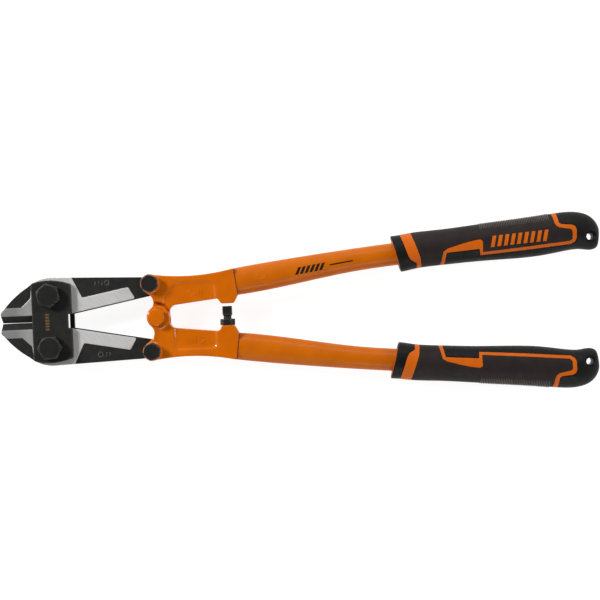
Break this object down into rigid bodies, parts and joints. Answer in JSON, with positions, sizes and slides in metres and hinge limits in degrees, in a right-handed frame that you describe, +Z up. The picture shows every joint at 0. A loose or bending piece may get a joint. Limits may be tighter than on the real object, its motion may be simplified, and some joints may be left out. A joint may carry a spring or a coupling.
{
  "type": "bolt cutters",
  "caption": "Compound-lever bolt cutters: forged jaws between two bolted head plates, forged and tubular handles with moulded grips, and an adjustable stop screw.",
  "frame": {"origin": "centre of the underside, on the surface that the tool lies on", "axes": "+X along the tool towards the grips, +Y across it towards the upper handle, +Z up through the bolt heads"},
  "size_m": [0.4531, 0.1328, 0.028],
  "materials": {
    "jaw_steel": "black forging with ground cutting edges and faces",
    "plate_black": "black oxide, satin",
    "bolt_black": "black oxide, satin",
    "enamel_orange": "gloss enamel over forged steel",
    "grip_orange": "moulded, satin",
    "grip_black": "soft moulded cover, satin",
    "grip_charcoal": "soft moulded cover, matt"
  },
  "bodies": {
    "head": {"front_plate": "plate_black", "rear_plate": "plate_black", "upper_jaw_bolt": "bolt_black", "upper_jaw_nut": "bolt_black", "lower_jaw_bolt": "bolt_black", "lower_jaw_nut": "bolt_black"},
    "upper_jaw": {"upper_jaw": "jaw_steel"},
    "lower_jaw": {"lower_jaw": "jaw_steel"},
    "upper_handle": {"upper_forging": "enamel_orange", "upper_tube": "enamel_orange", "upper_grip_core": "grip_orange", "upper_grip_collar": "grip_black", "upper_grip_pad": "grip_charcoal", "upper_grip_end_cap": "grip_black", "upper_link_bolt": "bolt_black", "upper_link_nut": "bolt_black"},
    "lower_handle": {"lower_forging": "enamel_orange", "lower_tube": "enamel_orange", "lower_grip_core": "grip_orange", "lower_grip_collar": "grip_black", "lower_grip_pad": "grip_charcoal", "lower_grip_end_cap": "grip_black", "lower_link_bolt": "bolt_black", "lower_link_nut": "bolt_black", "centre_bolt": "enamel_orange", "centre_nut": "enamel_orange", "stop_lock_nut": "bolt_black"},
    "stop_screw": {"stop_screw": "bolt_black"}
  },
  "joints": [
    {"name": "upper_jaw_pivot", "type": "hinge", "parent": "head", "child": "upper_jaw", "pos_m": [-0.1894, 0.0196, 0.0134], "axis": [0, 0, -1], "range_deg": [0, 6.6]},
    {"name": "lower_jaw_pivot", "type": "hinge", "parent": "head", "child": "lower_jaw", "pos_m": [-0.1894, -0.0196, 0.0134], "axis": [0, 0, 1], "range_deg": [0, 6.6]},
    {"name": "upper_handle_pivot", "type": "hinge", "parent": "upper_jaw", "child": "upper_handle", "pos_m": [-0.1133, 0.0256, 0.0134], "axis": [0, 0, 1], "range_deg": [0, 50]},
    {"name": "lower_handle_pivot", "type": "hinge", "parent": "lower_jaw", "child": "lower_handle", "pos_m": [-0.1133, -0.0256, 0.0134], "axis": [0, 0, -1], "range_deg": [0, 50]},
    {"name": "stop_screw_adjust", "type": "slide", "parent": "lower_handle", "child": "stop_screw", "axis": [0, 1, 0], "range_m": [-0.0023, 0.0015]}
  ],
  "couplings": [
    {"joint": "upper_handle_pivot", "follows": "lower_handle_pivot", "ratio": 1},
    {"joint": "upper_jaw_pivot", "follows": "lower_handle_pivot", "ratio": 0.1312},
    {"joint": "lower_jaw_pivot", "follows": "lower_handle_pivot", "ratio": 0.1312}
  ]
}
